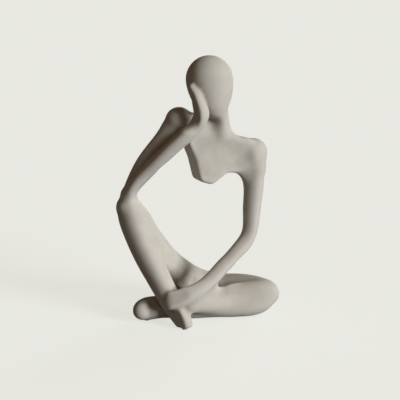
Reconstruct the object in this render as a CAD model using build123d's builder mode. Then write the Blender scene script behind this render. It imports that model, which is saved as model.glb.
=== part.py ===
from build123d import *
import math
import os

# Overall size of the seated figure on its pads, in millimetres. Places are shares of these
# three: across to the right, back away from the front, and up from the ground.
width = 156.0
depth = 97.0
height = 250.0
middle_shares = (-0.0059, -0.0191)

# Head: a plain egg, blunt at the crown, with the chin tipped forward.
head_width = 43.6
chin_height = 38.5
chin_radius = 11.0
crown_shares = (0.034, -0.021, 0.9978)
chin_shares = (0.092, -0.124, 0.761)

# Torso: a chest slab turned towards the hanging arm, two round shoulders and a neck.
chest_width = 82.0
chest_height = 72.0
chest_thickness = 26.0
chest_turn = 21.0
chest_corner_radius = 6.0
chest_edge_radius = 3.0
edge_limit_share = 0.8
chest_centre_shares = (0.090, 0.072, 0.640)
neck_width = 19.0

# Limbs: the rows of each limb's table share out one of these widths.
arm_width = 20.0
thigh_width = 34.0
calf_width = 26.0
knuckle_share = 1.06

# Steel inside the joints.
dowel_diameter = 6.0
dowel_grip = 14.0
pin_diameter = 3.0
pin_grip = 6.0
rod_diameter = 4.0
wire_diameter = 3.0
wire_bend_radius = 15.0
fit_clearance = 0.05
end_clearance = 0.4

# Felt pads under the four places where the figure touches the ground.
pad_diameter = 6.0
pad_thickness = 1.0
pad_spot_shares = [(0.038, 0.291), (0.285, -0.057), (-0.325, -0.189), (-0.089, -0.458)]

# Chest outline in its own turned plane, as shares of its width and height.
chest_outline_shares = [
    (-0.520, 0.410),
    (-0.300, 0.530),
    (0.250, 0.180),
    (0.450, 0.130),
    (0.570, -0.010),
    (0.490, -0.200),
    (0.282, -0.261),
    (0.095, -0.307),
    (-0.080, -0.432),
    (-0.225, -0.385),
    (-0.290, -0.090),
    (-0.362, 0.105),
]

# Rows of a limb: across, back and up, then half its width and half its depth.
neck_shares = [
    (0.108, -0.062, 0.808, 0.490, 0.480),
    (0.110, -0.031, 0.768, 0.500, 0.500),
    (0.111, 0.010, 0.735, 0.560, 0.560),
    (0.110, 0.050, 0.700, 0.720, 0.620),
]
right_upper_arm_shares = [
    (-0.125, -0.052, 0.758, 0.615, 0.575),
    (-0.173, -0.062, 0.713, 0.580, 0.550),
    (-0.243, -0.077, 0.654, 0.560, 0.525),
    (-0.323, -0.093, 0.587, 0.555, 0.510),
    (-0.381, -0.108, 0.531, 0.470, 0.460),
    (-0.424, -0.124, 0.486, 0.375, 0.390),
]
right_forearm_shares = [
    (-0.424, -0.142, 0.486, 0.375, 0.390),
    (-0.370, -0.180, 0.528, 0.390, 0.440),
    (-0.290, -0.216, 0.584, 0.390, 0.420),
    (-0.215, -0.253, 0.630, 0.400, 0.410),
    (-0.152, -0.278, 0.670, 0.390, 0.390),
    (-0.093, -0.297, 0.706, 0.370, 0.365),
    (-0.041, -0.307, 0.744, 0.360, 0.350),
    (-0.006, -0.309, 0.772, 0.360, 0.340),
    (0.008, -0.305, 0.799, 0.365, 0.325),
    (-0.004, -0.296, 0.826, 0.325, 0.300),
    (-0.017, -0.278, 0.852, 0.280, 0.265),
    (-0.035, -0.250, 0.876, 0.220, 0.225),
    (-0.047, -0.224, 0.887, 0.165, 0.175),
]
left_arm_shares = [
    (0.329, 0.175, 0.627, 0.630, 0.575),
    (0.333, 0.165, 0.555, 0.580, 0.525),
    (0.330, 0.149, 0.500, 0.500, 0.475),
    (0.325, 0.124, 0.443, 0.455, 0.450),
    (0.318, 0.093, 0.386, 0.420, 0.425),
    (0.311, 0.062, 0.338, 0.380, 0.400),
    (0.287, 0.021, 0.298, 0.370, 0.400),
    (0.233, -0.052, 0.262, 0.355, 0.390),
    (0.165, -0.139, 0.224, 0.345, 0.380),
    (0.097, -0.237, 0.188, 0.345, 0.370),
    (0.036, -0.330, 0.159, 0.350, 0.350),
    (-0.024, -0.397, 0.140, 0.385, 0.325),
    (-0.095, -0.443, 0.124, 0.425, 0.300),
    (-0.160, -0.454, 0.112, 0.430, 0.300),
    (-0.208, -0.443, 0.101, 0.375, 0.275),
    (-0.226, -0.431, 0.097, 0.280, 0.235),
]
right_thigh_shares = [
    (-0.428, -0.093, 0.428, 0.340, 0.345),
    (-0.381, -0.031, 0.354, 0.380, 0.395),
    (-0.310, 0.052, 0.275, 0.425, 0.440),
    (-0.245, 0.134, 0.204, 0.455, 0.470),
    (-0.174, 0.206, 0.147, 0.480, 0.500),
    (-0.083, 0.268, 0.098, 0.490, 0.530),
]
right_shin_shares = [
    (-0.428, -0.103, 0.432, 0.435, 0.445),
    (-0.408, -0.134, 0.379, 0.470, 0.500),
    (-0.362, -0.175, 0.310, 0.475, 0.500),
    (-0.308, -0.216, 0.240, 0.465, 0.480),
    (-0.253, -0.263, 0.175, 0.425, 0.460),
    (-0.202, -0.309, 0.118, 0.395, 0.425),
    (-0.162, -0.356, 0.080, 0.380, 0.385),
    (-0.126, -0.407, 0.049, 0.365, 0.340),
    (-0.104, -0.443, 0.027, 0.330, 0.275),
    (-0.092, -0.459, 0.012, 0.295, 0.230),
    (-0.087, -0.467, 0.002, 0.255, 0.195),
]

# Rows of a limb that lies on the ground: its middle stands its third share of a half width up.
hips_and_left_thigh_shares = [
    (0.038, 0.291, 0.900, 0.490, 0.530),
    (0.179, 0.258, 0.810, 0.490, 0.515),
    (0.292, 0.186, 0.895, 0.485, 0.485),
    (0.378, 0.103, 1.240, 0.410, 0.410),
    (0.418, 0.057, 1.760, 0.330, 0.330),
]
left_shin_shares = [
    (0.418, 0.005, 1.700, 0.440, 0.430),
    (0.375, -0.028, 1.110, 0.580, 0.500),
    (0.285, -0.057, 0.915, 0.630, 0.540),
    (0.173, -0.083, 0.930, 0.600, 0.540),
    (0.062, -0.108, 0.940, 0.540, 0.500),
    (-0.049, -0.134, 0.920, 0.490, 0.460),
    (-0.160, -0.160, 1.010, 0.440, 0.425),
    (-0.258, -0.180, 1.050, 0.420, 0.405),
    (-0.330, -0.190, 0.930, 0.405, 0.380),
    (-0.350, -0.190, 0.970, 0.345, 0.325),
]

# Rows where one casting ends and the next begins, and where the steel starts, turns and ends.
shoulder_row = 1
right_hip_row = 5
left_hip_row = 7
neck_joint_row = 1
palm_row = 9
ankle_row = 6
under_ankle_row = 6
held_row = 5
left_hand_row = 13
wire_rows = (0, 3, 6, 10)


def spot(across, back, up):
    middle_across, middle_back = middle_shares
    return Vector((across - middle_across) * width, (back - middle_back) * depth, up * height)


def lying(rows, limb_width):
    settled = []
    for across, back, lift, half_width, half_depth in rows:
        up = (pad_thickness + lift * half_width * limb_width) / height
        settled.append((across, back, up, half_width, half_depth))
    return settled


def path_planes(rows):
    points = [spot(*row[:3]) for row in rows]
    behind = [points[0]] + points[:-1]
    ahead = points[1:] + [points[-1]]
    planes = []
    for point, before, after in zip(points, behind, ahead):
        run = after - before
        planes.append(Plane(origin=point, x_dir=run.cross(Vector(0, 1, 0)), z_dir=run))
    return planes


def lofted(planes, rows, limb_width):
    with BuildPart() as limb:
        for plane, row in zip(planes, rows):
            half_width, half_depth = (share * limb_width for share in row[3:])
            with BuildSketch(plane):
                with BuildLine():
                    Spline(
                        (half_width, 0),
                        (0, half_depth),
                        (-half_width, 0),
                        (0, -half_depth),
                        periodic=True,
                    )
                make_face()
        loft()
    return limb.part


def knuckle(plane, row, limb_width):
    with BuildPart(Plane(origin=plane.origin)) as joint_ball:
        Sphere(max(row[3:]) * limb_width * knuckle_share)
    return joint_ball.part


def rod(start, end, diameter):
    run = end - start
    with BuildPart(Plane(origin=start, z_dir=run)) as straight:
        Cylinder(diameter / 2, run.length, align=(Align.CENTER, Align.CENTER, Align.MIN))
    return straight.part


def bore(start, end, diameter):
    room = (end - start).normalized() * end_clearance
    return rod(start - room, end + room, diameter + 2 * fit_clearance)


def wire(points, diameter):
    with BuildPart() as bent:
        with BuildLine() as route:
            FilletPolyline(*points, radius=wire_bend_radius)
        with BuildSketch(Plane(origin=route.line @ 0, z_dir=route.line % 0)):
            Circle(diameter / 2)
        sweep()
    return bent.part


def straddle(contact, run, grip, diameter):
    reach = run.normalized() * grip
    return contact - reach, contact + reach, diameter


def touching(from_plane, from_row, limb_width, goal):
    run = (goal - from_plane.origin).normalized()
    contact = from_plane.origin + run * (from_row[4] * limb_width)
    return straddle(contact, run, pin_grip, pin_diameter)


# The limbs' rows and the plane of each row. The seat runs from the right knee to the left one.
seat_rows = right_thigh_shares + lying(hips_and_left_thigh_shares, thigh_width)
left_shin_rows = lying(left_shin_shares, calf_width)
neck_planes = path_planes(neck_shares)
right_upper_arm_planes = path_planes(right_upper_arm_shares)
right_forearm_planes = path_planes(right_forearm_shares)
left_arm_planes = path_planes(left_arm_shares)
seat_planes = path_planes(seat_rows)
right_shin_planes = path_planes(right_shin_shares)
left_shin_planes = path_planes(left_shin_rows)
right_hip = seat_planes[right_hip_row]
left_hip = seat_planes[left_hip_row]
ankle_plane = right_shin_planes[ankle_row]
ground_cut = Plane.XY.offset(pad_thickness)

# The head's cheek arc runs into the round crown at the widest level, and into the round chin.
crown_radius = head_width / 2
chin_drop = chin_height - chin_radius
cheek_radius = (crown_radius**2 + chin_drop**2 - chin_radius**2) / (2 * (crown_radius - chin_radius))
cheek_arc = math.degrees(math.atan2(chin_drop, cheek_radius - crown_radius))
head_axis = (spot(*crown_shares) - spot(*chin_shares)).normalized()
head_centre = spot(*crown_shares) - head_axis * crown_radius
head_side = head_axis.cross(Vector(0, 1, 0)).normalized()
cheek_level = head_centre - head_axis * (chin_height / 2)

# Where each straight piece of steel lies: its start, its end and its diameter.
neck_joint = neck_planes[neck_joint_row].origin
neck_run = cheek_level - neck_planes[-1].origin
steel_places = {
    "neck_dowel": straddle(neck_joint, neck_run, dowel_grip, dowel_diameter),
    "right_hip_dowel": straddle(right_hip.origin, right_hip.z_dir, dowel_grip, dowel_diameter),
    "left_hip_dowel": straddle(left_hip.origin, left_hip.z_dir, dowel_grip, dowel_diameter),
    "right_arm_rod": (right_upper_arm_planes[0].origin, right_upper_arm_planes[-2].origin, rod_diameter),
    "cheek_pin": touching(
        right_forearm_planes[palm_row], right_forearm_shares[palm_row], arm_width, cheek_level
    ),
    "elbow_pin": touching(seat_planes[0], seat_rows[0], thigh_width, right_upper_arm_planes[-1].origin),
    "ankle_pin": touching(
        ankle_plane, right_shin_shares[ankle_row], calf_width, left_shin_planes[under_ankle_row].origin
    ),
    "hand_pin": touching(
        left_arm_planes[left_hand_row],
        left_arm_shares[left_hand_row],
        arm_width,
        right_shin_planes[held_row].origin,
    ),
}
bores = {name: bore(*place) for name, place in steel_places.items()}

# The bent wire in the left arm, and its bore with room at both ends.
wire_points = [left_arm_planes[row].origin for row in wire_rows]
top_room = (wire_points[0] - wire_points[1]).normalized() * end_clearance
wrist_room = (wire_points[-1] - wire_points[-2]).normalized() * end_clearance
wire_bore_points = [wire_points[0] + top_room, *wire_points[1:-1], wire_points[-1] + wrist_room]
wire_bore = wire(wire_bore_points, wire_diameter + 2 * fit_clearance)

# Head.
with BuildPart() as head_egg:
    with BuildSketch(Plane(origin=head_centre, x_dir=head_side, z_dir=head_side.cross(head_axis))):
        with BuildLine():
            CenterArc((0, 0), crown_radius, 90, -90)
            CenterArc((crown_radius - cheek_radius, 0), cheek_radius, 0, -cheek_arc)
            CenterArc((0, -chin_drop), chin_radius, -cheek_arc, cheek_arc - 90)
            Line((0, -chin_height), (0, crown_radius))
        make_face()
    revolve(axis=Axis(head_centre, head_axis))

with BuildPart() as head:
    add(head_egg.part)
    for name in ("neck_dowel", "cheek_pin"):
        add(bores[name], mode=Mode.SUBTRACT)

# Chest slab, rounded along both rims.
chest_across = Vector(1, 0, 0).rotate(Axis.Z, chest_turn)
chest_front = Vector(0, -1, 0).rotate(Axis.Z, chest_turn)
chest_plane = Plane(origin=spot(*chest_centre_shares), x_dir=chest_across, z_dir=chest_front)
rim_limit = edge_limit_share * min(chest_corner_radius, chest_thickness / 2)
with BuildPart() as chest:
    with BuildSketch(chest_plane) as outline:
        with BuildLine():
            Polyline(*((u * chest_width, v * chest_height) for u, v in chest_outline_shares), close=True)
        make_face()
        fillet(outline.vertices(), chest_corner_radius)
    extrude(amount=chest_thickness / 2, both=True)
    slab_faces = chest.faces().sort_by(Axis(chest_plane.origin, chest_front))
    fillet(slab_faces[0].edges() + slab_faces[-1].edges(), min(chest_edge_radius, rim_limit))

# Torso: the chest with its shoulders and neck, hollowed where the head sits.
shoulders = [
    (right_upper_arm_planes, right_upper_arm_shares),
    (left_arm_planes, left_arm_shares),
]
with BuildPart() as torso:
    add(chest.part)
    add(lofted(neck_planes, neck_shares, neck_width))
    for planes, rows in shoulders:
        add(lofted(planes[: shoulder_row + 1], rows[: shoulder_row + 1], arm_width))
        add(knuckle(planes[0], rows[0], arm_width))
    add(head_egg.part, mode=Mode.SUBTRACT)
    for name in ("neck_dowel", "right_arm_rod"):
        add(bores[name], mode=Mode.SUBTRACT)
    add(wire_bore, mode=Mode.SUBTRACT)

# Hips, the middle of the seat from one thigh to the other.
hip_span = slice(right_hip_row, left_hip_row + 1)
with BuildPart() as hips:
    add(lofted(seat_planes[hip_span], seat_rows[hip_span], thigh_width))
    split(bisect_by=ground_cut)
    for name in ("right_hip_dowel", "left_hip_dowel"):
        add(bores[name], mode=Mode.SUBTRACT)

# Right leg, with its raised knee.
with BuildPart() as right_leg_shape:
    add(lofted(seat_planes[: right_hip_row + 1], seat_rows[: right_hip_row + 1], thigh_width))
    add(lofted(right_shin_planes, right_shin_shares, calf_width))
    add(knuckle(seat_planes[0], seat_rows[0], thigh_width))
    split(bisect_by=ground_cut)

with BuildPart() as right_leg:
    add(right_leg_shape.part)
    for name in ("right_hip_dowel", "elbow_pin", "ankle_pin", "hand_pin"):
        add(bores[name], mode=Mode.SUBTRACT)

# Left leg, folded flat on the ground under the right ankle.
with BuildPart() as left_leg:
    add(lofted(seat_planes[left_hip_row:], seat_rows[left_hip_row:], thigh_width))
    add(lofted(left_shin_planes, left_shin_rows, calf_width))
    add(knuckle(seat_planes[-1], seat_rows[-1], thigh_width))
    for end in (0, -1):
        add(knuckle(left_shin_planes[end], left_shin_rows[end], calf_width))
    split(bisect_by=ground_cut)
    add(right_leg_shape.part, mode=Mode.SUBTRACT)
    for name in ("left_hip_dowel", "ankle_pin"):
        add(bores[name], mode=Mode.SUBTRACT)

# Right arm, from the shoulder down to the knee and up to the cheek.
with BuildPart() as right_arm:
    add(lofted(right_upper_arm_planes[shoulder_row:], right_upper_arm_shares[shoulder_row:], arm_width))
    add(lofted(right_forearm_planes, right_forearm_shares, arm_width))
    add(knuckle(right_upper_arm_planes[-1], right_upper_arm_shares[-1], arm_width))
    for end in (0, -1):
        add(knuckle(right_forearm_planes[end], right_forearm_shares[end], arm_width))
    for neighbour in (chest, head_egg, right_leg_shape):
        add(neighbour.part, mode=Mode.SUBTRACT)
    for name in ("right_arm_rod", "cheek_pin", "elbow_pin"):
        add(bores[name], mode=Mode.SUBTRACT)

# Left arm, hanging to the elbow and reaching forward to hold the right ankle.
with BuildPart() as left_arm:
    add(lofted(left_arm_planes[shoulder_row:], left_arm_shares[shoulder_row:], arm_width))
    add(knuckle(left_arm_planes[-1], left_arm_shares[-1], arm_width))
    for neighbour in (chest, right_leg_shape, left_leg):
        add(neighbour.part, mode=Mode.SUBTRACT)
    add(bores["hand_pin"], mode=Mode.SUBTRACT)
    add(wire_bore, mode=Mode.SUBTRACT)

# Felt pads.
with BuildPart() as felt_pads:
    for across, back in pad_spot_shares:
        with Locations(spot(across, back, 0)):
            Cylinder(pad_diameter / 2, pad_thickness, align=(Align.CENTER, Align.CENTER, Align.MIN))

# Bent wire of the left arm.
with BuildPart() as left_arm_wire:
    add(wire(wire_points, wire_diameter))

os.makedirs("parts", exist_ok=True)

head.part.label = "head"
export_step(head.part, "parts/head.step")
torso.part.label = "torso"
export_step(torso.part, "parts/torso.step")
hips.part.label = "hips"
export_step(hips.part, "parts/hips.step")
right_leg.part.label = "right_leg"
export_step(right_leg.part, "parts/right_leg.step")
left_leg.part.label = "left_leg"
export_step(left_leg.part, "parts/left_leg.step")
right_arm.part.label = "right_arm"
export_step(right_arm.part, "parts/right_arm.step")
left_arm.part.label = "left_arm"
export_step(left_arm.part, "parts/left_arm.step")
felt_pads.part.label = "felt_pads"
export_step(felt_pads.part, "parts/felt_pads.step")
left_arm_wire.part.label = "left_arm_wire"
export_step(left_arm_wire.part, "parts/left_arm_wire.step")

# Straight steel: the dowels, the pins and the rod of the right arm.
for name, place in steel_places.items():
    with BuildPart() as straight_steel:
        add(rod(*place))
    straight_steel.part.label = name
    export_step(straight_steel.part, f"parts/{name}.step")
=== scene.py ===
import math

import bpy
import numpy as np
import openvdb
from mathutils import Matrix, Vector


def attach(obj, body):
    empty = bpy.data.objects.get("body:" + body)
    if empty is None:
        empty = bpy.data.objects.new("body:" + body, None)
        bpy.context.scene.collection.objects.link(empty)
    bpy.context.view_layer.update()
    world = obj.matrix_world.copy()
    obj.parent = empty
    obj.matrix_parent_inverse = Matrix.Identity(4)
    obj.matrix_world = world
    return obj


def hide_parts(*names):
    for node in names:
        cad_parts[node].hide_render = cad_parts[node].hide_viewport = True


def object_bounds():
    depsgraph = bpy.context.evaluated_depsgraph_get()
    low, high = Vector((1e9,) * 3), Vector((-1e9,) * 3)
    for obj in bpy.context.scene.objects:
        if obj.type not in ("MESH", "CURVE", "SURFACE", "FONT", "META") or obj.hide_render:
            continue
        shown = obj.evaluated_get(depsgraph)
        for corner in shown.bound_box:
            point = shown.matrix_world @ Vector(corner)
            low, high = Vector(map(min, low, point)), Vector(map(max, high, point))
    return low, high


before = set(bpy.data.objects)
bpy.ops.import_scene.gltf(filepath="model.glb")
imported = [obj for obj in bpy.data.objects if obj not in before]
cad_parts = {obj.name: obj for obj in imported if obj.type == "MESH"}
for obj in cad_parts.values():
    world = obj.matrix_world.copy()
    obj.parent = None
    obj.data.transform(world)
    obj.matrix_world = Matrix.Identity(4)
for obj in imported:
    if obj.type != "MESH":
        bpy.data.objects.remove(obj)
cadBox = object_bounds()
mm = 0.001

# The figure's seven castings and the steel inside them.
castings = ["head", "torso", "hips", "right_leg", "left_leg", "right_arm", "left_arm"]
steelParts = [
    "neck_dowel", "right_hip_dowel", "left_hip_dowel", "right_arm_rod", "left_arm_wire",
    "cheek_pin", "elbow_pin", "ankle_pin", "hand_pin",
]
print("frame loaded:", len(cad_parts), "nodes")


# The clay is the figure as distances to its surface, on one grid.
clay = {
    "voxel": 0.8 * mm,
    "reach": 18.0 * mm,      # distances are kept this far from a surface
    "margin": 6.0 * mm,      # empty room round the figure
    "seamRadius": 1.0 * mm,  # filler in every seam
    "polish": 0.9 * mm,      # hand rubbing of the whole surface
    "fade": 0.6,             # share of its reach over which hand work fades out
}
voxel = clay["voxel"]
gridLow = np.floor((np.array(cadBox[0]) - clay["margin"]) / voxel).astype(int)
gridHigh = np.ceil((np.array(cadBox[1]) + clay["margin"]) / voxel).astype(int)
gridStep = openvdb.createLinearTransform(voxelSize=voxel)


def corner(indices):
    return tuple(int(i) for i in indices)


def nodeTriangles(names):
    points, triangles, count = [], [], 0
    for name in names:
        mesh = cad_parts[name].data
        mesh.calc_loop_triangles()
        places = np.empty(len(mesh.vertices) * 3, np.float32)
        mesh.vertices.foreach_get("co", places)
        corners = np.empty(len(mesh.loop_triangles) * 3, np.int32)
        mesh.loop_triangles.foreach_get("vertices", corners)
        points.append(places.reshape(-1, 3))
        triangles.append(corners.reshape(-1, 3) + count)
        count += len(mesh.vertices)
    return np.concatenate(points), np.concatenate(triangles).astype(np.uint32)


def measured(points, faces, low, size):
    kind = "triangles" if faces.shape[1] == 3 else "quads"
    volume = openvdb.FloatGrid.createLevelSetFromPolygons(
        points, transform=gridStep, halfWidth=clay["reach"] / voxel, **{kind: faces}
    )
    field = np.empty(corner(size), np.float32)
    volume.copyToArray(field, ijk=corner(low))
    return field


def skinOf(field, low, level=0.0):
    volume = openvdb.FloatGrid(clay["reach"])
    volume.transform = gridStep
    volume.copyFromArray(np.ascontiguousarray(field, np.float32), ijk=corner(low))
    return volume.convertToQuads(level)


def rolled(field, low, radius):
    # a ball of this radius rolled over the surface leaves filler where it can't reach
    points, quads = skinOf(field, low, radius)
    return measured(points, quads, low, field.shape) + radius


def rubbed(field, width):
    spectrum = np.fft.rfftn(field)
    for axis, count in enumerate(field.shape):
        waves = np.fft.rfftfreq(count) if axis == 2 else np.fft.fftfreq(count)
        shape = [1, 1, 1]
        shape[axis] = len(waves)
        spectrum *= np.exp(-2 * (math.pi * waves * width / voxel) ** 2).reshape(shape)
    return np.fft.irfftn(spectrum, s=field.shape).astype(np.float32)


def around(at, room):
    at = np.array(at) * mm
    low = np.maximum(np.floor((at - room) / voxel).astype(int), gridLow)
    high = np.minimum(np.ceil((at + room) / voxel).astype(int), gridHigh)
    block = tuple(slice(a, b) for a, b in zip(low - gridLow, high - gridLow))
    axes = [np.arange(a, b) * voxel - middle for a, b, middle in zip(low, high, at)]
    return block, np.meshgrid(*axes, indexing="ij", sparse=True)


def faded(offsets, reach):
    away = np.sqrt(sum(d**2 for d in offsets))
    share = np.clip((reach - away) / (reach * clay["fade"]), 0, 1)
    return share * share * (3 - 2 * share)


fields = {name: measured(*nodeTriangles([name]), gridLow, gridHigh - gridLow) for name in castings}
steelField = measured(*nodeTriangles(steelParts), gridLow, gridHigh - gridLow)
print("castings measured:", steelField.shape)


# Hand work on the castings, in millimetres: coils laid on, lumps laid on, or pressed in with a negative lift,
# and flats shaved off.
coils = {
    "wristToShin": {
        "of": "left_leg", "from": (-7, -33.5, 20.5), "to": (30, -9, 15.5), "radii": (7.5, 11.5), "blend": 5,
    },
    "topOfLeftShin": {
        "of": "left_leg", "from": (34, 0, 18.5), "to": (60, 1, 23.0), "radii": (10.5, 10.5), "blend": 5,
    },
    "leftToes": {
        "of": "left_leg", "from": (-51, -17, 12), "to": (-54.2, -25, 11.8), "radii": (9.0, 8.4), "blend": 3,
    },
}
lumps = {
    "outsideOfElbow": {
        "of": ["right_arm", "right_leg"], "at": (-74, -11, 115), "size": (6, 8, 5), "lift": 1.5,
    },
    "bendOfElbow": {
        "of": ["right_arm", "right_leg"], "at": (-56, -16, 121), "size": (4, 12, 4), "lift": -1.5,
    },
    "insideOfKnee": {"of": ["right_leg"], "at": (-48, -3, 98), "size": (6, 14, 9), "lift": 3.5},
    "lap": {"of": ["hips", "right_leg", "left_leg"], "at": (1, 12, 29), "size": (9, 7, 7), "lift": -6.0},
    "underChin": {"of": ["head", "torso"], "at": (11, -11, 189), "size": (6, 7, 6), "lift": -2.5},
    "hangingShoulder": {"of": ["torso"], "at": (45, 6, 152), "size": (7, 9, 11), "lift": 3.5},
}
flats = {
    "chestLeft": {"of": "torso", "at": (8, -7, 152), "facing": (0.14, -0.99, 0), "reach": 28, "edge": 8},
    "chestRight": {"of": "torso", "at": (26, 1, 153), "facing": (0.54, -0.84, 0), "reach": 28, "edge": 8},
    "armpitEdge": {"of": "torso", "at": (38, 5, 146), "facing": (0, -0.62, -0.78), "reach": 18, "edge": 4},
    "fingers": {
        "of": "right_arm", "at": (-2, -31, 207), "facing": (-0.76, -0.64, -0.05), "reach": 28, "edge": 2,
    },
    "rightToes": {
        "of": "right_leg", "at": (-20.5, -42.2, 8), "facing": (-0.63, -0.77, -0.06), "reach": 24, "edge": 1.5,
    },
    "backOfLeftHand": {
        "of": "left_arm", "at": (-19, -45, 30), "facing": (-0.12, -0.92, 0.375), "reach": 22, "edge": 1.5,
    },
    "endOfLeftHand": {
        "of": "left_arm", "at": (-33, -40, 25), "facing": (-0.78, -0.60, 0.15), "reach": 20, "edge": 6,
    },
    "bendOfElbow": {
        "of": "right_arm", "at": (-45.2, -18, 138.6), "facing": (0.66, -0.16, -0.74), "reach": 32, "edge": 2,
    },
    "underForearm": {
        "of": "right_arm", "at": (-26, -24, 157), "facing": (0.66, -0.16, -0.74), "reach": 34, "edge": 2,
    },
}
lumpReach = 3  # widths of a lump within which it still counts


def softened(first, second, width):
    # what rounds the line where two fields meet, over this width
    lap = np.maximum(width - np.abs(first - second), 0)
    return lap * lap / (4 * width)


def layCoil(coil):
    start, end = np.array(coil["from"]), np.array(coil["to"])
    run = (end - start) * mm
    thin, thick = (r * mm for r in coil["radii"])
    blend = coil["blend"] * mm
    block, offsets = around(start, np.linalg.norm(run) + max(thin, thick) + 2 * blend)
    along = np.clip(sum(d * r for d, r in zip(offsets, run)) / (run @ run), 0, 1)
    away = np.sqrt(sum((d - along * r) ** 2 for d, r in zip(offsets, run)))
    roll = away - thin - (thick - thin) * along
    bare = fields[coil["of"]][block]
    fields[coil["of"]][block] = np.minimum(bare, roll) - softened(bare, roll, blend)


def layLump(lump):
    size = np.array(lump["size"]) * mm
    block, offsets = around(lump["at"], lumpReach * size.max())
    swell = np.exp(-0.5 * sum((d / s) ** 2 for d, s in zip(offsets, size)))
    for name in lump["of"]:
        fields[name][block] -= lump["lift"] * mm * swell


def shaveFlat(flat):
    reach = flat["reach"] * mm
    edge = flat["edge"] * mm
    block, offsets = around(flat["at"], reach)
    plane = sum(d * f for d, f in zip(offsets, Vector(flat["facing"]).normalized()))
    bare = fields[flat["of"]][block]
    shaved = np.maximum(bare, plane) + softened(bare, plane, edge)
    fields[flat["of"]][block] = bare + faded(offsets, reach) * (shaved - bare)


for coil in coils.values():
    layCoil(coil)
for lump in lumps.values():
    layLump(lump)
for flat in flats.values():
    shaveFlat(flat)
figure = np.minimum.reduce(list(fields.values()) + [steelField])
print("hand work done:", len(coils), "coils,", len(lumps), "lumps,", len(flats), "flats")


# Filler rolled into the joints, where the castings run into each other without a line. In millimetres.
joints = {
    "neck": {"of": ["torso", "head"], "at": (34, 4, 184), "reach": 28, "radius": 9},
    "throat": {"of": ["torso"], "at": (32, -2, 164), "reach": 26, "radius": 16},
    "leftArmpit": {"of": ["torso", "left_arm"], "at": (48, 12, 150), "reach": 44, "radius": 14},
    "rightShoulder": {"of": ["torso"], "at": (-18, -2, 182), "reach": 30, "radius": 9},
    "elbow": {"of": ["right_arm", "right_leg"], "at": (-66, -10, 114), "reach": 26, "radius": 5},
    "rightKnee": {"of": ["right_leg"], "at": (-52, -4, 78), "reach": 46, "radius": 16},
    "leftWrist": {"of": ["left_arm", "left_leg"], "at": (4, -30, 28), "reach": 36, "radius": 9},
    "heldAnkle": {"of": ["left_arm", "right_leg"], "at": (-16, -40, 24), "reach": 28, "radius": 4},
    "leftKnee": {"of": ["left_leg"], "at": (62, 4, 22), "reach": 34, "radius": 12},
    "leftFold": {"of": ["hips", "left_leg"], "at": (52, 6, 30), "reach": 40, "radius": 16},
    "lap": {"of": ["hips", "right_leg", "left_leg"], "at": (-16, 10, 26), "reach": 30, "radius": 8},
}


def fillJoint(joint):
    reach = joint["reach"] * mm
    radius = joint["radius"] * mm
    block, offsets = around(joint["at"], reach + 2 * radius + clay["margin"])
    low = gridLow + [span.start for span in block]
    bare = np.minimum.reduce([fields[name][block] for name in joint["of"]] + [steelField[block]])
    filled = rolled(bare, low, radius)
    figure[block] = np.minimum(figure[block], bare + faded(offsets, reach) * (filled - bare))


for name, joint in joints.items():
    fillJoint(joint)
    print("joint filled:", name)


# Places that are rubbed down until their bumps are gone, in millimetres, then the whole figure.
rubs = {
    "leftKnee": {"at": (62, 2, 22), "reach": 30, "width": 3.0},
    "elbow": {"at": (-68, -12, 112), "reach": 22, "width": 2.2},
    "throat": {"at": (28, -5, 168), "reach": 20, "width": 3.0},
    "underChin": {"at": (13, -7, 185), "reach": 15, "width": 2.2},
    "hangingShoulder": {"at": (50, 4, 152), "reach": 22, "width": 3.0},
    "rightKnee": {"at": (-52, -8, 88), "reach": 24, "width": 2.5},
    "leftWrist": {"at": (6, -34, 26), "reach": 26, "width": 2.6},
}
rubReach = 3  # widths of smoothing that are kept round a rubbed place


def rubPlace(rub):
    reach = rub["reach"] * mm
    width = rub["width"] * mm
    block, offsets = around(rub["at"], reach + rubReach * width)
    bare = figure[block]
    figure[block] = bare + faded(offsets, reach) * (rubbed(bare, width) - bare)


for rub in rubs.values():
    rubPlace(rub)
figure = rolled(figure, gridLow, clay["seamRadius"])
figure = rubbed(figure, clay["polish"])
print("figure polished")


# The skin is cut back into one closed piece for each casting, along the lines midway between them.
def sampled(field, points):
    place = points / voxel - gridLow
    base = np.clip(np.floor(place).astype(int), 0, np.array(field.shape) - 2)
    part = place - base
    total = np.zeros(len(points))
    for step in np.ndindex(2, 2, 2):
        weight = np.prod(np.where(step, part, 1 - part), axis=1)
        total += weight * field[tuple((base + step).T)]
    return total


tiny = 1e-12  # keeps a vector of no length from being divided by zero


def unit(vectors):
    return vectors / np.maximum(np.linalg.norm(vectors, axis=1, keepdims=True), tiny)


def faceNormals(points, triangles):
    first, second, third = (points[triangles[:, k]] for k in range(3))
    return np.cross(second - first, third - first)


def pointNormals(points, triangles):
    normals = faceNormals(points, triangles)
    total = np.zeros_like(points)
    for k in range(3):
        np.add.at(total, triangles[:, k], normals)
    return unit(total)


# Negative in hollows, where brown shade is painted in, and positive on ridges, which are rubbed paler.
shadeAndWearSizes = {
    "width": 3.0 * mm,  # size of the forms that wear
    "full": 0.9 * mm,   # depth of hollow or height of ridge at which it is 1
}
skinPoints, skinQuads = skinOf(figure, gridLow)
skinPoints = skinPoints.astype(float)
skinQuads = skinQuads.astype(int)
skinTriangles = np.concatenate([skinQuads[:, [0, 1, 2]], skinQuads[:, [0, 2, 3]]])
skinNormals = pointNormals(skinPoints, skinTriangles)
outward = sampled(figure, skinPoints + skinNormals * voxel).mean()
if outward < 0:
    skinTriangles = skinTriangles[:, ::-1]
    skinNormals = -skinNormals
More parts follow.
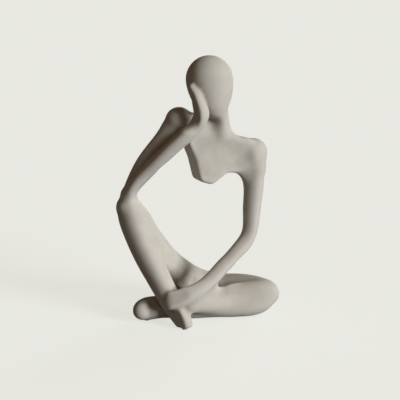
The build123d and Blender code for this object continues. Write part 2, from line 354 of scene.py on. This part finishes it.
# how hollow or ridged each skin point is: hollows get painted shade, ridges are rubbed paler
skinShadeAndWear = sampled(rubbed(figure, shadeAndWearSizes["width"]) - figure, skinPoints) / shadeAndWearSizes["full"]
castingDistances = np.array([sampled(fields[name], skinPoints) for name in castings])
print("skin:", len(skinTriangles), "triangles")
print("wear:", skinShadeAndWear.min().round(2), "to", skinShadeAndWear.max().round(2))


def keptSide(side):
    # the skin where side is negative; triangles across the line are cut, and rim is the new edge
    inside = side < 0
    count = inside[skinTriangles].sum(axis=1)
    whole = skinTriangles[count == 3]
    crossed = skinTriangles[(count == 1) | (count == 2)]
    lone = np.where((inside[crossed].sum(axis=1) == 1)[:, None], inside[crossed], ~inside[crossed])
    rows = np.arange(len(crossed))
    first = lone.argmax(axis=1)
    a, b, c = (crossed[rows, (first + k) % 3] for k in range(3))
    pairs = np.sort(np.concatenate([np.stack([a, b], 1), np.stack([a, c], 1)]), axis=1)
    pairs, index = np.unique(pairs, axis=0, return_inverse=True)
    index = index.ravel() + len(skinPoints)
    ab, ac = index[: len(crossed)], index[len(crossed):]
    share = side[pairs[:, 0]] / (side[pairs[:, 0]] - side[pairs[:, 1]])

    def withRim(values):
        part = share.reshape(-1, *[1] * (values.ndim - 1))
        return np.concatenate([values, values[pairs[:, 0]] * (1 - part) + values[pairs[:, 1]] * part])

    tip = inside[a]
    triangles = np.concatenate([
        whole,
        np.stack([a, ab, ac], 1)[tip],
        np.stack([ab, b, c], 1)[~tip],
        np.stack([ab, c, ac], 1)[~tip],
    ])
    rim = np.concatenate([np.stack([ab, ac], 1)[tip], np.stack([ac, ab], 1)[~tip]])
    return withRim(skinPoints), unit(withRim(skinNormals)), withRim(skinShadeAndWear), triangles, rim


def rimLoops(rim):
    following = {int(u): int(v) for u, v in rim if u != v}
    loops = []
    while following:
        start, here = following.popitem()
        loop = [start]
        while here != start and here in following:
            loop.append(here)
            here = following.pop(here)
        loops.append(loop)
    return loops


# A joint face is a fan from a hub inside the figure. Hubs on a small grid round the middle of the rim are
# tried, and the one whose spokes stay deepest is taken.
fan = {
    "tries": 5,  # each way
    "step": 3.0 * mm,
    "spokeShares": (0.0, 0.25, 0.5, 0.75),
}


def highestSpoke(hub, rimPoints):
    spokes = [hub + (rimPoints - hub) * share for share in fan["spokeShares"]]
    return sampled(figure, np.concatenate(spokes)).max()


def hubOf(rimPoints):
    tries = fan["tries"]
    steps = np.array(list(np.ndindex(tries, tries, tries))) - tries // 2
    hubs = rimPoints.mean(axis=0) + steps * fan["step"]
    return hubs[np.argmin([highestSpoke(hub, rimPoints) for hub in hubs])]


def jointFaces(points, loops):
    hubs = np.array([hubOf(points[loop]) for loop in loops]).reshape(-1, 3)
    faces = [
        (after, before, len(points) + number)
        for number, loop in enumerate(loops)
        for before, after in zip(loop, np.roll(loop, -1))
    ]
    return hubs, np.array(faces, int).reshape(-1, 3)


def castingPiece(name, number):
    others = np.delete(castingDistances, number, axis=0).min(axis=0)
    points, normals, shadeAndWear, triangles, rim = keptSide(castingDistances[number] - others)
    loops = rimLoops(rim)
    hubs, caps = jointFaces(points, loops)
    used, faces = np.unique(np.concatenate([triangles, caps]), return_inverse=True)
    faces = faces.reshape(-1, 3)
    points = np.concatenate([points, hubs])[used]
    normals = np.concatenate([normals, np.zeros_like(hubs)])[used]
    shadeAndWear = np.concatenate([shadeAndWear, np.zeros(len(hubs))])[used]
    cornerNormals = normals[faces]
    capNormals = unit(faceNormals(points, faces[len(triangles):]))
    cornerNormals[len(triangles):] = capNormals[:, None, :]
    mesh = bpy.data.meshes.new(name + "_skin")
    mesh.from_pydata(points, [], faces)
    # the hollow and ridge measure, which paints shade into the hollows and pales the ridges
    mesh.attributes.new("shadeAndWear", "FLOAT", "POINT").data.foreach_set("value", shadeAndWear.astype(np.float32))
    mesh.shade_smooth()
    mesh.normals_split_custom_set(cornerNormals.reshape(-1, 3))
    piece = bpy.data.objects.new(name + "_skin", mesh)
    bpy.context.scene.collection.objects.link(piece)
    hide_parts(name)
    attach(piece, "root")
    print("casting:", name, len(faces), "triangles,", len(loops), "joint faces")
    return piece


pieces = {name: castingPiece(name, number) for number, name in enumerate(castings)}


# Effects that the finishes share.
def addNode(tree, kind, inputs=None, **settings):
    node = tree.nodes.new(kind)
    for name, value in settings.items():
        setattr(node, name, value)
    for name, value in (inputs or {}).items():
        if isinstance(value, bpy.types.NodeSocket):
            tree.links.new(value, node.inputs[name])
        else:
            node.inputs[name].default_value = value
    return node


# The sockets of a mix node that blends colours.
mixSockets = {"factor": 0, "first": 6, "second": 7, "result": 2}


def blended(tree, factor, first, second, blend="MIX"):
    inputs = {mixSockets["factor"]: factor, mixSockets["first"]: first, mixSockets["second"]: second}
    mix = addNode(tree, "ShaderNodeMix", inputs, data_type="RGBA", blend_type=blend)
    return mix.outputs[mixSockets["result"]]


def ranged(tree, value, span, results):
    spread = addNode(tree, "ShaderNodeMapRange", {
        "Value": value, "From Min": span[0], "From Max": span[1], "To Min": results[0], "To Max": results[1],
    })
    return spread.outputs["Result"]


def effectGroup(name, inputs, outputs):
    tree = bpy.data.node_groups.new(name, "ShaderNodeTree")
    for socketName, (kind, value) in inputs.items():
        socket = tree.interface.new_socket(socketName, in_out="INPUT", socket_type=kind)
        socket.default_value = value
    for socketName in outputs:
        tree.interface.new_socket(socketName, in_out="OUTPUT", socket_type="NodeSocketFloat")
    return tree, tree.nodes.new("NodeGroupInput"), tree.nodes.new("NodeGroupOutput")


# Sand, fibres or drawn lines, by how many of them fit in a metre each way.
grainNoise = {
    "count": (1000, 1000, 1000),
    "detail": 3.0,
    "roughness": 0.6,
    "usual": (0.3, 0.7),  # the values that most of the grain has
    "speckScale": 0.5,
    "speckSpan": (0.05, 0.45),
}


def makeFineGrain():
    tree, given, result = effectGroup(
        "fineGrain",
        {
            "Count": ("NodeSocketVector", grainNoise["count"]),
            "Detail": ("NodeSocketFloat", grainNoise["detail"]),
        },
        ["Grain", "Specks"],
    )
    place = addNode(tree, "ShaderNodeTexCoord").outputs["Object"]
    spread = addNode(
        tree, "ShaderNodeVectorMath", {0: place, 1: given.outputs["Count"]}, operation="MULTIPLY"
    )
    noise = addNode(tree, "ShaderNodeTexNoise", {
        "Vector": spread.outputs[0], "Scale": 1.0,
        "Detail": given.outputs["Detail"], "Roughness": grainNoise["roughness"],
    })
    cells = addNode(tree, "ShaderNodeTexVoronoi", {
        "Vector": spread.outputs[0], "Scale": grainNoise["speckScale"],
    })
    specks = ranged(tree, cells.outputs["Distance"], grainNoise["speckSpan"], (1, 0))
    tree.links.new(noise.outputs["Fac"], result.inputs["Grain"])
    tree.links.new(specks, result.inputs["Specks"])
    return tree


# Slow changes of tone, by the size of a patch.
mottleNoise = {"size": 20.0 * mm, "contrast": 1.0, "detail": 3.0, "roughness": 0.55, "middle": 0.5}


def makeSoftMottle():
    tree, given, result = effectGroup(
        "softMottle",
        {
            "Size": ("NodeSocketFloat", mottleNoise["size"]),
            "Contrast": ("NodeSocketFloat", mottleNoise["contrast"]),
        },
        ["Tone"],
    )
    place = addNode(tree, "ShaderNodeTexCoord").outputs["Object"]
    count = addNode(tree, "ShaderNodeMath", {0: 1.0, 1: given.outputs["Size"]}, operation="DIVIDE")
    noise = addNode(tree, "ShaderNodeTexNoise", {
        "Vector": place, "Scale": count.outputs[0],
        "Detail": mottleNoise["detail"], "Roughness": mottleNoise["roughness"],
    })
    middle = mottleNoise["middle"]
    centred = addNode(tree, "ShaderNodeMath", {0: noise.outputs["Fac"], 1: middle}, operation="SUBTRACT")
    tone = addNode(
        tree, "ShaderNodeMath", {0: centred.outputs[0], 1: given.outputs["Contrast"], 2: middle},
        operation="MULTIPLY_ADD", use_clamp=True,
    )
    tree.links.new(tone.outputs[0], result.inputs["Tone"])
    return tree


fineGrain = makeFineGrain()
softMottle = makeSoftMottle()


def newFinish(name):
    finish = bpy.data.materials.new(name)
    finish.use_nodes = True
    return finish, finish.node_tree, finish.node_tree.nodes["Principled BSDF"]


def effect(tree, group, values):
    return addNode(tree, "ShaderNodeGroup", values, node_tree=group).outputs


def bumped(tree, shader, height, bump):
    node = addNode(tree, "ShaderNodeBump", {
        "Height": height, "Strength": bump["strength"], "Distance": bump["depth"],
    })
    tree.links.new(node.outputs["Normal"], shader.inputs["Normal"])


# Cast sandstone resin: pale greige, brown shade painted into the hollows, ridges rubbed paler.
sandstone = {
    "deep": (0.500, 0.465, 0.408, 1),
    "pale": (0.612, 0.578, 0.520, 1),
    # brown painted shade for the hollows
    "paintedHollowShade": (0.270, 0.205, 0.145, 1),
    "ridge": (0.640, 0.620, 0.585, 1),
    "mottle": {"Size": 18.0 * mm, "Contrast": 1.6},
    "sand": {"Count": (1500, 1500, 1500)},
    "paintedShadeSpan": (-0.12, -1.0),  # hollow depth at which the painted shade begins, and at which it is full
    "paintedShadeShare": 0.60,
    "ridgeSpan": (0.12, 0.9),
    "ridgeShare": 0.40,
    "sandTones": (0.55, 1.25),
    "sandShare": 0.16,
    "roughness": (0.95, 0.80),
    "shine": 0.06,
    "bump": {"strength": 0.10, "depth": 0.6 * mm},
}


def makeSandstone():
    finish, tree, shader = newFinish("sandstone")
    tone = effect(tree, softMottle, sandstone["mottle"])["Tone"]
    sand = effect(tree, fineGrain, sandstone["sand"])["Grain"]
    shadeAndWear = addNode(tree, "ShaderNodeAttribute", attribute_name="shadeAndWear").outputs["Fac"]
    # painted shade: the hollows are darkened brown, where shade falls
    shadedHollows = ranged(tree, shadeAndWear, sandstone["paintedShadeSpan"], (0, sandstone["paintedShadeShare"]))
    paled = ranged(tree, shadeAndWear, sandstone["ridgeSpan"], (0, sandstone["ridgeShare"]))
    level = ranged(tree, sand, grainNoise["usual"], sandstone["sandTones"])
    sandTone = addNode(tree, "ShaderNodeCombineColor", {n: level for n in ("Red", "Green", "Blue")})
    colour = blended(tree, tone, sandstone["deep"], sandstone["pale"])
    # painted shade laid into the hollows
    colour = blended(tree, shadedHollows, colour, sandstone["paintedHollowShade"])
    colour = blended(tree, paled, colour, sandstone["ridge"])
    colour = blended(tree, sandstone["sandShare"], colour, sandTone.outputs["Color"], "MULTIPLY")
    roughness = ranged(tree, sand, grainNoise["usual"], sandstone["roughness"])
    tree.links.new(colour, shader.inputs["Base Color"])
    tree.links.new(roughness, shader.inputs["Roughness"])
    shader.inputs["Specular IOR Level"].default_value = sandstone["shine"]
    bumped(tree, shader, sand, sandstone["bump"])
    return finish


stone = makeSandstone()
for piece in pieces.values():
    piece.data.materials.append(stone)
print("sandstone finish made")


# Steel dowels, pins, rod and wire, drawn lengthwise.
steel = {
    "base": (0.60, 0.60, 0.61, 1),
    "dull": (0.44, 0.44, 0.45, 1),
    "stain": {"Size": 6.0 * mm},
    "lines": {"Count": (2600, 2600, 300)},
    "roughness": (0.28, 0.48),
    "bump": {"strength": 0.12, "depth": 0.2 * mm},
}


def makeSteel():
    finish, tree, shader = newFinish("drawnSteel")
    lines = effect(tree, fineGrain, steel["lines"])["Grain"]
    stain = effect(tree, softMottle, steel["stain"])["Tone"]
    colour = blended(tree, stain, steel["dull"], steel["base"])
    roughness = ranged(tree, lines, grainNoise["usual"], steel["roughness"])
    tree.links.new(colour, shader.inputs["Base Color"])
    tree.links.new(roughness, shader.inputs["Roughness"])
    shader.inputs["Metallic"].default_value = 1.0
    bumped(tree, shader, lines, steel["bump"])
    return finish


drawnSteel = makeSteel()
for name in steelParts:
    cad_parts[name].data.materials.clear()
    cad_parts[name].data.materials.append(drawnSteel)
print("steel finish made")


# Felt dots under the figure, cut from sheet: soft rims, a fuzzy edge.
felt = {
    "spread": 12.0 * mm,  # the dots lie farther apart than this
    "sides": 48,
    "rows": 8,            # of faces up the edge
    "rings": 4,           # of faces on top and below
    "rim": 0.35 * mm,
    "rimPower": 5.0,      # a higher one keeps the rounding closer to the rim
    "fuzz": 0.25 * mm,
    "fuzzCount": 900.0,   # tufts in a metre
    "seed": 4.0,
    "pale": (0.60, 0.56, 0.49, 1),
    "deep": (0.46, 0.42, 0.36, 1),
    "mottle": {"Size": 3.0 * mm},
    "fibres": {"Count": (2200, 2200, 900), "Detail": 5.0},
    "speckSpan": (0.2, 1),
    "speckShare": 0.3,
    "sheen": 0.25,
    "bump": {"strength": 0.5, "depth": 0.3 * mm},
}


def makeFelt():
    finish, tree, shader = newFinish("paleFelt")
    fibres = effect(tree, fineGrain, felt["fibres"])
    tone = effect(tree, softMottle, felt["mottle"])["Tone"]
    specked = ranged(tree, fibres["Specks"], felt["speckSpan"], (0, felt["speckShare"]))
    colour = blended(tree, tone, felt["deep"], felt["pale"])
    colour = blended(tree, specked, colour, felt["deep"])
    tree.links.new(colour, shader.inputs["Base Color"])
    shader.inputs["Roughness"].default_value = 1.0
    shader.inputs["Sheen Weight"].default_value = felt["sheen"]
    bumped(tree, shader, fibres["Grain"], felt["bump"])
    return finish


def feltTree(finish):
    tree = bpy.data.node_groups.new("feltDots", "GeometryNodeTree")
    tree.interface.new_socket("Geometry", in_out="INPUT", socket_type="NodeSocketGeometry")
    for name in ("Radius", "Thickness", "Rim", "Fuzz", "Seed"):
        tree.interface.new_socket(name, in_out="INPUT", socket_type="NodeSocketFloat")
    tree.interface.new_socket("Geometry", in_out="OUTPUT", socket_type="NodeSocketGeometry")
    given = tree.nodes.new("NodeGroupInput").outputs

    def worked(operation, first, second):
        return addNode(tree, "ShaderNodeMath", {0: first, 1: second}, operation=operation).outputs[0]

    def parts(kind):
        return addNode(tree, "ShaderNodeSeparateXYZ", {0: addNode(tree, kind).outputs[0]}).outputs

    disc = addNode(tree, "GeometryNodeMeshCylinder", {
        "Vertices": felt["sides"], "Side Segments": felt["rows"], "Fill Segments": felt["rings"],
        "Radius": given["Radius"], "Depth": given["Thickness"],
    })
    at = parts("GeometryNodeInputPosition")
    level = worked("DIVIDE", worked("ABSOLUTE", at["Z"], 0.0), given["Thickness"])
    steep = worked("POWER", worked("MULTIPLY", level, 2.0), felt["rimPower"])
    rounding = worked("MULTIPLY", steep, given["Rim"])
    scale = worked("SUBTRACT", 1.0, worked("DIVIDE", rounding, given["Radius"]))
    place = addNode(tree, "ShaderNodeCombineXYZ", {
        "X": worked("MULTIPLY", at["X"], scale),
        "Y": worked("MULTIPLY", at["Y"], scale),
        "Z": at["Z"],
    })
    rounded = addNode(tree, "GeometryNodeSetPosition", {
        "Geometry": disc.outputs["Mesh"], "Position": place.outputs[0],
    })
    dots = addNode(tree, "GeometryNodeInstanceOnPoints", {
        "Points": given["Geometry"], "Instance": rounded.outputs[0],
    })
    loose = addNode(tree, "GeometryNodeRealizeInstances", {0: dots.outputs[0]})
    noise = addNode(
        tree, "ShaderNodeTexNoise", {"W": given["Seed"], "Scale": felt["fuzzCount"]}, noise_dimensions="4D"
    )
    inwards = worked("MULTIPLY", worked("SUBTRACT", noise.outputs["Fac"], 1.0), given["Fuzz"])
    normal = parts("GeometryNodeInputNormal")
    shift = addNode(tree, "ShaderNodeCombineXYZ", {
        "X": worked("MULTIPLY", normal["X"], inwards),
        "Y": worked("MULTIPLY", normal["Y"], inwards),
    })
    fuzzy = addNode(tree, "GeometryNodeSetPosition", {
        "Geometry": loose.outputs[0], "Offset": shift.outputs[0],
    })
    smooth = addNode(tree, "GeometryNodeSetShadeSmooth", {"Geometry": fuzzy.outputs[0]})
    painted = addNode(tree, "GeometryNodeSetMaterial", {"Geometry": smooth.outputs[0], "Material": finish})
    result = tree.nodes.new("NodeGroupOutput")
    tree.links.new(painted.outputs[0], result.inputs["Geometry"])
    return tree


def dotBoxes():
    points = nodeTriangles(["felt_pads"])[0]
    boxes = []
    while len(points):
        near = np.linalg.norm(points - points[0], axis=1) < felt["spread"]
        boxes.append((points[near].min(axis=0), points[near].max(axis=0)))
        points = points[~near]
    return boxes


def makeFeltDots():
    boxes = dotBoxes()
    size = boxes[0][1] - boxes[0][0]
    spots = bpy.data.meshes.new("felt_pads_spots")
    spots.from_pydata([tuple((low + high) / 2) for low, high in boxes], [], [])
    carrier = bpy.data.objects.new("felt_pads_spots", spots)
    bpy.context.scene.collection.objects.link(carrier)
    tree = feltTree(makeFelt())
    modifier = carrier.modifiers.new("feltDots", "NODES")
    modifier.node_group = tree
    sockets = {item.name: item.identifier for item in tree.interface.items_tree if item.in_out == "INPUT"}
    values = {
        "Radius": size[0] / 2, "Thickness": size[2],
        "Rim": felt["rim"], "Fuzz": felt["fuzz"], "Seed": felt["seed"],
    }
    for name, value in values.items():
        modifier[sockets[name]] = float(value)
    depsgraph = bpy.context.evaluated_depsgraph_get()
    mesh = bpy.data.meshes.new_from_object(carrier.evaluated_get(depsgraph))
    bpy.data.objects.remove(carrier)
    mesh.name = "felt_dots"
    dots = bpy.data.objects.new("felt_dots", mesh)
    bpy.context.scene.collection.objects.link(dots)
    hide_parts("felt_pads")
    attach(dots, "root")
    print("felt dots:", len(boxes), "of", len(mesh.polygons) // len(boxes), "faces")


makeFeltDots()


# Studio: a pale floor, a soft key from the right, a weaker lamp behind, a low warm fill. Angles in degrees.
studio = {
    "backdrop": (0.812, 0.807, 0.760),
    "floorShade": 0.26,  # how much light the floor gives back; the rest of its colour is a glow
    "floorHalf": 20.0,   # metres
    "lampColour": (0.97, 1.0, 1.01),
    "lamps": {
        "key": {"strength": 3.1, "azimuth": 54.0, "elevation": 16.0, "softness": 22.0},
        "back": {"strength": 1.2, "azimuth": 152.0, "elevation": 14.0, "softness": 26.0},
    },
    "fillColour": (0.096, 0.061, 0.032),
}


def showsBackdrop(tree):
    path = tree.nodes.new("ShaderNodeLightPath").outputs
    glossy = addNode(
        tree, "ShaderNodeMath", {0: path["Is Camera Ray"], 1: path["Is Glossy Ray"]}, operation="MAXIMUM"
    )
    shown = addNode(
        tree, "ShaderNodeMath", {0: glossy.outputs[0], 1: path["Is Transmission Ray"]}, operation="MAXIMUM"
    )
    return shown.outputs[0]


def makeWorld():
    world = bpy.data.worlds.new("studio")
    bpy.context.scene.world = world
    world.use_nodes = True
    tree = world.node_tree
    tree.nodes.clear()
    fill = addNode(tree, "ShaderNodeBackground", {"Color": (*studio["fillColour"], 1)})
    wall = addNode(tree, "ShaderNodeBackground", {"Color": (*studio["backdrop"], 1)})
    either = addNode(tree, "ShaderNodeMixShader", {
        0: showsBackdrop(tree), 1: fill.outputs[0], 2: wall.outputs[0],
    })
    addNode(tree, "ShaderNodeOutputWorld", {"Surface": either.outputs[0]})


def makeFloor():
    half = studio["floorHalf"]
    mesh = bpy.data.meshes.new("floor")
    corners = [(-half, -half, 0), (half, -half, 0), (half, half, 0), (-half, half, 0)]
    mesh.from_pydata(corners, [], [(0, 1, 2, 3)])
    floor = bpy.data.objects.new("floor", mesh)
    bpy.context.scene.collection.objects.link(floor)
    paint = bpy.data.materials.new("floorPaint")
    paint.use_nodes = True
    tree = paint.node_tree
    tree.nodes.clear()
    shade = studio["floorShade"]
    lit = sum(
        lamp["strength"] * math.sin(math.radians(lamp["elevation"])) / math.pi
        for lamp in studio["lamps"].values()
    )
    rest = [
        wall - shade * (lit * lampPart + fillPart)
        for wall, lampPart, fillPart in zip(studio["backdrop"], studio["lampColour"], studio["fillColour"])
    ]
    matte = addNode(tree, "ShaderNodeBsdfDiffuse", {"Color": (shade, shade, shade, 1)})
    glow = addNode(tree, "ShaderNodeEmission", {"Color": (*rest, 1), "Strength": showsBackdrop(tree)})
    both = addNode(tree, "ShaderNodeAddShader", {0: matte.outputs[0], 1: glow.outputs[0]})
    addNode(tree, "ShaderNodeOutputMaterial", {"Surface": both.outputs[0]})
    mesh.materials.append(paint)


def makeLamp(name, lamp):
    sun = bpy.data.lights.new(name, "SUN")
    sun.energy = lamp["strength"]
    sun.color = studio["lampColour"]
    sun.angle = math.radians(lamp["softness"])
    holder = bpy.data.objects.new(name, sun)
    turn = math.radians(lamp["azimuth"])
    rise = math.radians(lamp["elevation"])
    toLamp = Vector((math.sin(turn) * math.cos(rise), -math.cos(turn) * math.cos(rise), math.sin(rise)))
    holder.rotation_mode = "QUATERNION"
    holder.rotation_quaternion = toLamp.to_track_quat("Z", "Y")
    bpy.context.scene.collection.objects.link(holder)


makeWorld()
makeFloor()
for name, lamp in studio["lamps"].items():
    makeLamp(name, lamp)
print("studio lit")


# Camera at the photograph's angle, looking down a little. In millimetres and degrees.
view = {
    "target": (0.92, 1.85, 113.25),
    "distance": 900.0,
    "elevation": 12.0,
    "lens": 85.14,
    "sensor": 36.0,
}


def makeCamera():
    data = bpy.data.cameras.new("camera")
    data.lens = view["lens"]
    data.sensor_width = view["sensor"]
    camera = bpy.data.objects.new("camera", data)
    lift = math.radians(view["elevation"])
    back = Vector((0, -math.cos(lift), math.sin(lift)))
    camera.location = (Vector(view["target"]) + back * view["distance"]) * mm
    camera.rotation_mode = "QUATERNION"
    camera.rotation_quaternion = back.to_track_quat("Z", "Y")
    bpy.context.scene.collection.objects.link(camera)
    bpy.context.scene.camera = camera


makeCamera()
bpy.context.scene.view_settings.view_transform = "Standard"
print("camera set")
